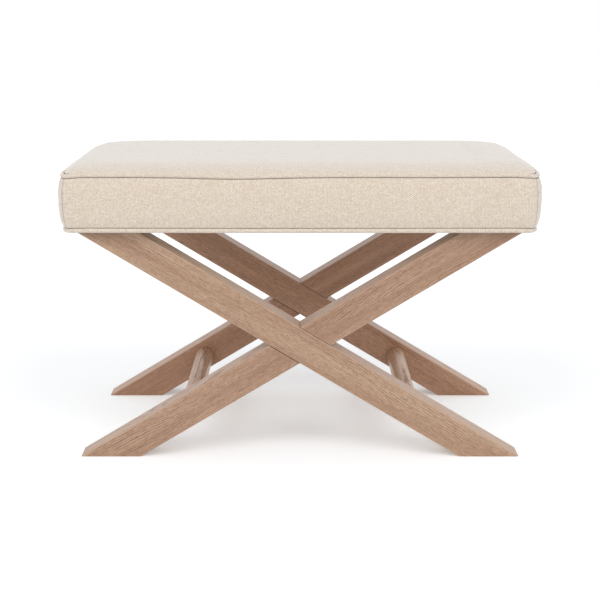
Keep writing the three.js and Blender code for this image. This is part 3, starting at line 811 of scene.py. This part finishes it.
def dome_faces(ring_count, rows, columns):
    """The faces of rings of points whose last is filled by a grid. The grid's edge is that ring,
    which starts at the front right and goes round leftwards, and its other points come last."""
    round_count = 2 * (rows + columns) - 4
    corners = grid_corners(ring_count, round_count, closed=True)
    corners = corners[corners[:, 2, 0] < ring_count]
    round_faces = corners[..., 0] * round_count + corners[..., 1] % round_count
    number = np.full((rows, columns), -1)
    last = (ring_count - 1) * round_count + np.arange(round_count)
    number[:-1, -1] = last[:rows - 1]
    number[-1, :0:-1] = last[rows - 1:rows + columns - 2]
    number[:0:-1, 0] = last[rows + columns - 2:2 * rows + columns - 3]
    number[0, :-1] = last[2 * rows + columns - 3:]
    inner = np.arange((rows - 2) * (columns - 2)).reshape(rows - 2, -1)
    number[1:-1, 1:-1] = ring_count * round_count + inner
    corners = grid_corners(rows, columns)
    return np.vstack([round_faces, number[corners[..., 0], corners[..., 1]]])


even = np.linspace(SEAM_STEPS[-1], RINGS_RUN, round(RINGS_RUN / TOP_STEP))[1:]
inward = np.concatenate([SEAM_STEPS, even])
rings = [np.vstack(ring(panel_set_in + distance, TOP_STEP)) for distance in inward]
middle = patch(ring(panel_set_in + inward[-1], TOP_STEP))
plan = np.vstack([*rings, middle[1:-1, 1:-1].reshape(-1, 2)])
x, y = plan.T
from_seam = np.full(len(plan), RINGS_RUN)
from_seam[:len(inward) * len(rings[0])] = np.repeat(inward, len(rings[0]))
z = crown_height(x, y) - seam_turn(from_seam)
z -= seam_dip(x, y) * np.exp(-(from_seam / DIP_FADE) ** 2)
faces = dome_faces(len(rings), *middle.shape[:2])
panels["top_panel"] = cloth_mesh("top_panel_cloth", np.column_stack([plan, z]), faces, plan[faces])
from_seams["top_panel"] = from_seam

# The cover is filled tight, so the cloth puffs out between its seams and gathers beside them,
# where it is a little longer than what it is sewn to. It is let swell, and held to a small puff.
PUFF_PRESSURE = 4
PUFF_FRAMES = 20
PUFF_CAP = 0.0020
SEWN_REACH = 0.003
SEWN_EASE = 0.010
LOOSE_HOLD = 0.55
GATHER = 0.03
LEAST_REACH = 1e-9


def point_places(mesh):
    """The places of a mesh's points, as one long row of numbers."""
    places = np.empty(3 * len(mesh.vertices), dtype=np.float32)
    mesh.vertices.foreach_get("co", places)
    return places


puffing = panels
for name, panel in puffing.items():
    sewn = panel.vertex_groups.new(name="sewn")
    loose = np.clip((from_seams[name] - SEWN_REACH) / SEWN_EASE, 0, 1)
    for vertex, hold in enumerate(1 - (1 - LOOSE_HOLD) * loose):
        sewn.add([vertex], hold, "REPLACE")
    cloth = panel.modifiers.new("cloth", "CLOTH")
    cloth.settings.vertex_group_mass = "sewn"
    cloth.settings.use_pressure = True
    cloth.settings.uniform_pressure_force = PUFF_PRESSURE
    cloth.settings.effector_weights.gravity = 0
    cloth.settings.shrink_min = -GATHER
    cloth.collision_settings.use_collision = False
    cloth.point_cache.frame_end = PUFF_FRAMES
for number in range(1, PUFF_FRAMES + 1):
    scene.frame_set(number)
for panel in puffing.values():
    flat_filled = point_places(panel.data)
    with bpy.context.temp_override(object=panel, active_object=panel):
        bpy.ops.object.modifier_apply(modifier="cloth")
    puff = (point_places(panel.data) - flat_filled).reshape(-1, 3)
    reach = np.linalg.norm(puff, axis=1, keepdims=True)
    puff *= PUFF_CAP * np.tanh(reach / PUFF_CAP) / np.maximum(reach, LEAST_REACH)
    panel.data.vertices.foreach_set("co", flat_filled + puff.ravel())
scene.frame_set(1)

# The wadding
# A layer of bonded polyester fibre over the foam's top and down its sides. It is stapled to the
# deck's edge and fills the cover out round its corners.
WADDING_BURIED = 0.0024
WADDING_THICKNESS = 0.0030
WADDING_STEP = 0.010
WADDING_HIGHEST_SHARE = 0.94
WADDING_LUMP = 0.030
WADDING_LUMP_DEPTH = 0.0006
# White crimped fibres that look a little greyer between the tufts
WADDING_WHITE = "#F4F3EF"
WADDING_SHADE = "#D9D8D2"
WADDING_FIBRE = 0.0016
WADDING_CRIMP = 2.5
WADDING_SURFACE = {"Roughness": 0.95, "Sheen Weight": 0.4}
WADDING_RELIEF = {"Strength": 0.7, "Distance": 0.0005}


def filling_skin(name, buried, lowest):
    """The skin of what fills the cover, this far inside it, from a height up and over the top."""
    rings = []
    lowest_share = (lowest - boxing_low.z) / boxing_height
    count = round(boxing_height / WADDING_STEP)
    for share in np.linspace(lowest_share, WADDING_HIGHEST_SHARE, count):
        plan = np.vstack(ring(boxing_line(share) + buried, WADDING_STEP))
        z = boxing_low.z + share * boxing_height - seam_dip(*plan.T) * share ** 2
        rings.append(np.column_stack([plan, z]))
    inward = np.linspace(0, RINGS_RUN, round(RINGS_RUN / WADDING_STEP))
    for from_seam in inward:
        plan = np.vstack(ring(panel_set_in + from_seam, WADDING_STEP))
        x, y = plan.T
        dip = seam_dip(x, y) * math.exp(-(from_seam / DIP_FADE) ** 2)
        rings.append(np.column_stack([plan, crown_height(x, y) - dip - buried]))
    middle = patch(ring(panel_set_in + inward[-1], WADDING_STEP))
    x, y = middle[1:-1, 1:-1].reshape(-1, 2).T
    points = np.vstack([*rings, np.column_stack([x, y, crown_height(x, y) - buried])])
    faces = dome_faces(len(rings), *middle.shape[:2])
    return cloth_mesh(name, points, faces, points[faces][..., :2])


def make_uneven(piece, name, size, depth):
    """Gives a piece's surface soft lumps of this size and depth."""
    pattern = bpy.data.textures.new(name, "CLOUDS")
    pattern.noise_scale = size
    apply_modifier(piece, "DISPLACE", texture=pattern, texture_coords="LOCAL", strength=depth)


wadding = filling_skin("polyester_wadding_layer", WADDING_BURIED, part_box("batting")[0].z)
thicken(wadding, WADDING_THICKNESS)
make_uneven(wadding, "wadding_lumps", WADDING_LUMP, WADDING_LUMP_DEPTH)
dress(wadding, bonded_fibres(
    "polyester_wadding", WADDING_SURFACE, WADDING_FIBRE, WADDING_CRIMP, WADDING_SHADE,
    WADDING_WHITE, WADDING_RELIEF))
hand_in(wadding, "batting")

# The foam
# A block of upholstery foam, cut to the deck's outline with a crowned top and glued to the deck.
# Its cut faces wave a little where the knife wandered.
FOAM_BURIED = 0.0063
FOAM_VOXEL = 0.006
FOAM_CUT_WAVE = 0.060
FOAM_CUT_DEPTH = 0.0005
# Open cells that the knife has cut through: pale walls round darker hollows
FOAM_CREAM = "#EFE3C2"
FOAM_CELL_SHADE = "#CDBB90"
FOAM_CELL = 0.0013
# How far from the middle of a wall it starts to hollow, and is hollow, as shares of a cell
FOAM_WALL = (0.02, 0.22)
FOAM_RELIEF = {"Strength": 0.6, "Distance": 0.0005}

foam = filling_skin("foam_block_cut", FOAM_BURIED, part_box("foam_block")[0].z)
bpy.ops.object.select_all(action="DESELECT")
bpy.context.view_layer.objects.active = foam
bpy.ops.object.mode_set(mode="EDIT")
choose(foam, "EDGE", lambda edge: edge.is_boundary)
bpy.ops.mesh.edge_face_add()
finish_solid(foam)
apply_modifier(foam, "REMESH", mode="VOXEL", voxel_size=FOAM_VOXEL, use_smooth_shade=True)
make_uneven(foam, "foam_cut_waves", FOAM_CUT_WAVE, FOAM_CUT_DEPTH)

material, shader, add = start_material("polyurethane_foam", {"Roughness": 0.9})
place = add("TexCoord").outputs["Object"]
cells = add("TexVoronoi", {"Vector": place, "Scale": 1 / FOAM_CELL}, feature="DISTANCE_TO_EDGE")
wall = add("MapRange", {"Value": cells, 1: FOAM_WALL[0], 2: FOAM_WALL[1], 3: 1, 4: 0})
colour = add("Mix", {FACTOR: wall, FIRST: FOAM_CELL_SHADE, SECOND: FOAM_CREAM}, data_type="RGBA")
bump = add("Bump", {"Height": wall, **FOAM_RELIEF})
set_inputs(shader, {"Base Color": colour, "Normal": bump})
dress(foam, material)
hand_in(foam, "foam_block")

# The cover's linen
# Flax spun from dyed fibre and woven one over one. The weave is drawn coarser than the real one,
# whose yarns are 1 mm apart, so that it shows from a few steps away.
YARN_TONE_LENGTH = 0.006
YARN_WANDER = 0.0005
YARN_WANDER_LENGTH = 0.012
# How far apart the warp yarns lie, and the weft yarns
YARN_SPACINGS = (0.0022, 0.0017, 1)
# How far on in the noise each next yarn finds its tone, and the weft finds its tones
NEXT_YARN = 5.37
WEFT_NOISE = 40.0
YARN_TONES = (0.3, 0.7)
YARN_FULLNESS = 0.6
LINEN_PALE = "#F1E5D6"
LINEN_DEEP = "#CDBAA4"
LINEN_SHADE = "#A8907A"
CROSSING_SHARE = 0.55
WEFT_DEPTH = 0.5
# How dark the cloth is where a yarn dips under, and how high a yarn lies when it is clear of it
DIP_DARKNESS = 0.55
DIP_TOP = 0.6
LINEN_SURFACE = {"Roughness": 0.92, "Sheen Weight": 1, "Sheen Roughness": 0.55}
LINEN_RELIEF = {"Strength": 0.5, "Distance": 0.0003}


def woven_linen(name, turn=0):
    """Plain-woven linen: matt yarns of uneven tone, the warp paler than the weft, darker where
    they dip between each other, with a fine fuzz that pales the glancing view."""
    material, shader, add = start_material(name, LINEN_SURFACE)
    flat = add("UVMap", uv_map="flat_cloth")
    turned = add("Mapping", {"Vector": flat, "Rotation": (0, 0, turn)})
    wander = add("TexNoise", {"Vector": turned, "Scale": 1 / YARN_WANDER_LENGTH, "Detail": 1})
    moved = add("VectorMath", {
        0: wander.outputs["Color"],
        1: (YARN_WANDER, YARN_WANDER, 0),
        2: turned,
    }, operation="MULTIPLY_ADD")
    counted = add("VectorMath", {0: moved, 1: YARN_SPACINGS}, operation="DIVIDE")
    index = add("VectorMath", {0: counted}, operation="FLOOR")
    across = add("SeparateXYZ", {0: counted}).outputs
    whole = add("SeparateXYZ", {0: index}).outputs

    waves = []
    tones = []
    for axis, other, noise_place in (("X", "Y", 0), ("Y", "X", WEFT_NOISE)):
        phase = add("Math", {0: across[axis], 1: math.pi}, operation="MULTIPLY")
        waves.append(add("Math", {0: phase}, operation="SINE"))
        along = add(
            "Math", {0: across[other], 1: YARN_SPACINGS[0] / YARN_TONE_LENGTH},
            operation="MULTIPLY")
        number = add("Math", {0: whole[axis], 1: NEXT_YARN}, operation="MULTIPLY")
        lengthwise = add("CombineXYZ", {"X": along, "Y": number, "Z": noise_place})
        tones.append(add("TexNoise", {"Vector": lengthwise, "Scale": 1, "Detail": 2}))
    product = add("Math", {0: waves[0], 1: waves[1]}, operation="MULTIPLY")
    warp_over = add("Math", {0: product, 1: 0}, operation="GREATER_THAN")
    round_yarns = add("Math", {0: product}, operation="ABSOLUTE")
    swell = add("Math", {0: round_yarns, 1: YARN_FULLNESS}, operation="POWER")
    tone = add("Mix", {0: warp_over, 2: tones[1], 3: tones[0]}, data_type="FLOAT")
    yarn_tone = add("MapRange", {"Value": tone, 1: YARN_TONES[0], 2: YARN_TONES[1]})
    crossing = add("TexWhiteNoise", {"Vector": index})
    spread = add("Mix", {0: CROSSING_SHARE, 2: yarn_tone, 3: crossing}, data_type="FLOAT")
    lightness = add("MapRange", {"Value": warp_over, 3: -WEFT_DEPTH / 2, 4: WEFT_DEPTH / 2})
    toned = add("Math", {0: spread, 1: lightness}, operation="ADD", use_clamp=True)
    yarn = add("Mix", {FACTOR: toned, FIRST: LINEN_DEEP, SECOND: LINEN_PALE}, data_type="RGBA")
    shaded = add("MapRange", {"Value": swell, 1: 0, 2: DIP_TOP, 3: DIP_DARKNESS, 4: 0})
    colour = add("Mix", {FACTOR: shaded, FIRST: yarn, SECOND: LINEN_SHADE}, data_type="RGBA")
    bump = add("Bump", {"Height": swell, **LINEN_RELIEF})
    set_inputs(shader, {"Base Color": colour, "Normal": bump})
    return material


linen = woven_linen("oatmeal_linen")
for node, panel in panels.items():
    thicken(panel, COVER_THICKNESS)
    dress(panel, linen)
    hand_in(panel, node)

# The piping and the welt
# Round cord covered in the same linen cut on the bias, sewn into the top seam and round the
# bottom edge.
CORD_STEP = 0.004
CORD_SIDES = 16
# How far the welt is drawn in at the corners
WELT_TUCK = 0.0014

bias_linen = woven_linen("oatmeal_linen_bias", math.pi / 4)
for node, top in (("top_piping", True), ("bottom_welt", False)):
    low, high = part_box(node)
    radius = (high.z - low.z) / 2
    cord_height = (high.z + low.z) / 2
    cord_set_in = piping_high.x - high.x
    rows = []
    for section in range(CORD_SIDES):
        turn = 2 * math.pi * section / CORD_SIDES
        row = np.vstack(ring(cord_set_in + radius - radius * math.cos(turn), CORD_STEP))
        corner = cornerness(*row.T)
        drop = seam_dip(*row.T) if top else CORNER_SAG * corner
        if not top:
            row = row - np.sign(row) * WELT_TUCK * corner[:, None]
        rows.append(np.column_stack([row, cord_height + radius * math.sin(turn) - drop]))
    points = np.stack(rows)
    corners = grid_corners(*points.shape[:2], closed=True)
    section, along = corners[..., 0], corners[..., 1]
    faces = (section % CORD_SIDES) * points.shape[1] + along % points.shape[1]
    flat = np.stack([along * CORD_STEP, section * 2 * math.pi * radius / CORD_SIDES], axis=-1)
    cord = cloth_mesh(f"{node}_cord", points, faces, flat)
    dress(cord, bias_linen)
    hand_in(cord, node)

# The floor and the light
# A white paper sweep in a white room, lit from the front by two wide lamps on each side.
FLOOR_SIZE = 12
FLOOR_CUTS = 3
FLOOR_WHITE = "#F4F7FA"
WHITE = "#FFFFFF"
SKY_STRENGTH = 0.66
BACKDROP_STRENGTH = 1
# How wide each lamp looks, how far it leans from straight overhead and which way, in degrees,
# and its strength
LAMP_SPREAD = 30
LAMPS = {
    "left_high_light": (50, -35, 0.56),
    "right_high_light": (50, 35, 0.56),
    "left_low_light": (64, -42, 0.22),
    "right_low_light": (64, 42, 0.22),
}
PAPER_GLOW = 0.25

floor = start_primitive("paper_floor", bpy.ops.mesh.primitive_plane_add, size=FLOOR_SIZE)
bpy.ops.mesh.subdivide(number_cuts=FLOOR_CUTS)
bpy.ops.object.mode_set(mode="OBJECT")


def seen_share(add):
    """1 for the rays that see the background: the camera's, and those that gloss or glass bends."""
    rays = add("LightPath").outputs
    direct = add("Math", {0: rays["Is Camera Ray"], 1: rays["Is Glossy Ray"]}, operation="ADD")
    return add("Math", {0: direct, 1: rays["Is Transmission Ray"]}, operation="ADD", use_clamp=True)


# Matt white paper, lit so far past white that it glows where it is looked at
material, shader, add = start_material("white_paper", {
    "Roughness": 1,
    "Specular IOR Level": 0,
    "Base Color": FLOOR_WHITE,
    "Emission Color": WHITE,
})
glow = add("Math", {0: seen_share(add), 1: PAPER_GLOW}, operation="MULTIPLY")
set_inputs(shader, {"Emission Strength": glow})
dress(floor, material)

world = bpy.data.worlds.new("white_studio")
world.use_nodes = True
scene.world = world
world.node_tree.nodes.clear()
add = partial(add_node, world.node_tree)
ambient = add("Background", {"Color": WHITE, "Strength": SKY_STRENGTH})
backdrop = add("Background", {"Color": WHITE, "Strength": BACKDROP_STRENGTH})
both = add("MixShader", {0: seen_share(add), 1: ambient, 2: backdrop})
add("OutputWorld", {"Surface": both})

for name, (lean, turn, strength) in LAMPS.items():
    light = bpy.data.lights.new(name, "SUN")
    light.energy = strength
    light.angle = math.radians(LAMP_SPREAD)
    add_object(name, light).rotation_euler = (math.radians(lean), 0, math.radians(turn))
scene.view_settings.view_transform = "Standard"

# The camera
# A long lens straight in front of the stool, a little above the seat and looking slightly down.
CAMERA_DISTANCE = 2.5355
CAMERA_HEIGHT = 0.7371
# From looking straight down, in degrees, and the lens and the sensor's width, in millimetres
CAMERA_TILT = 78.44
CAMERA_LENS = 88.24
CAMERA_SENSOR = 36

camera_data = bpy.data.cameras.new("front_camera")
camera_data.lens = CAMERA_LENS
camera_data.sensor_width = CAMERA_SENSOR
camera = add_object("front_camera", camera_data)
camera.location = (0, -CAMERA_DISTANCE, CAMERA_HEIGHT)
camera.rotation_euler = (math.radians(CAMERA_TILT), 0, 0)
scene.camera = camera
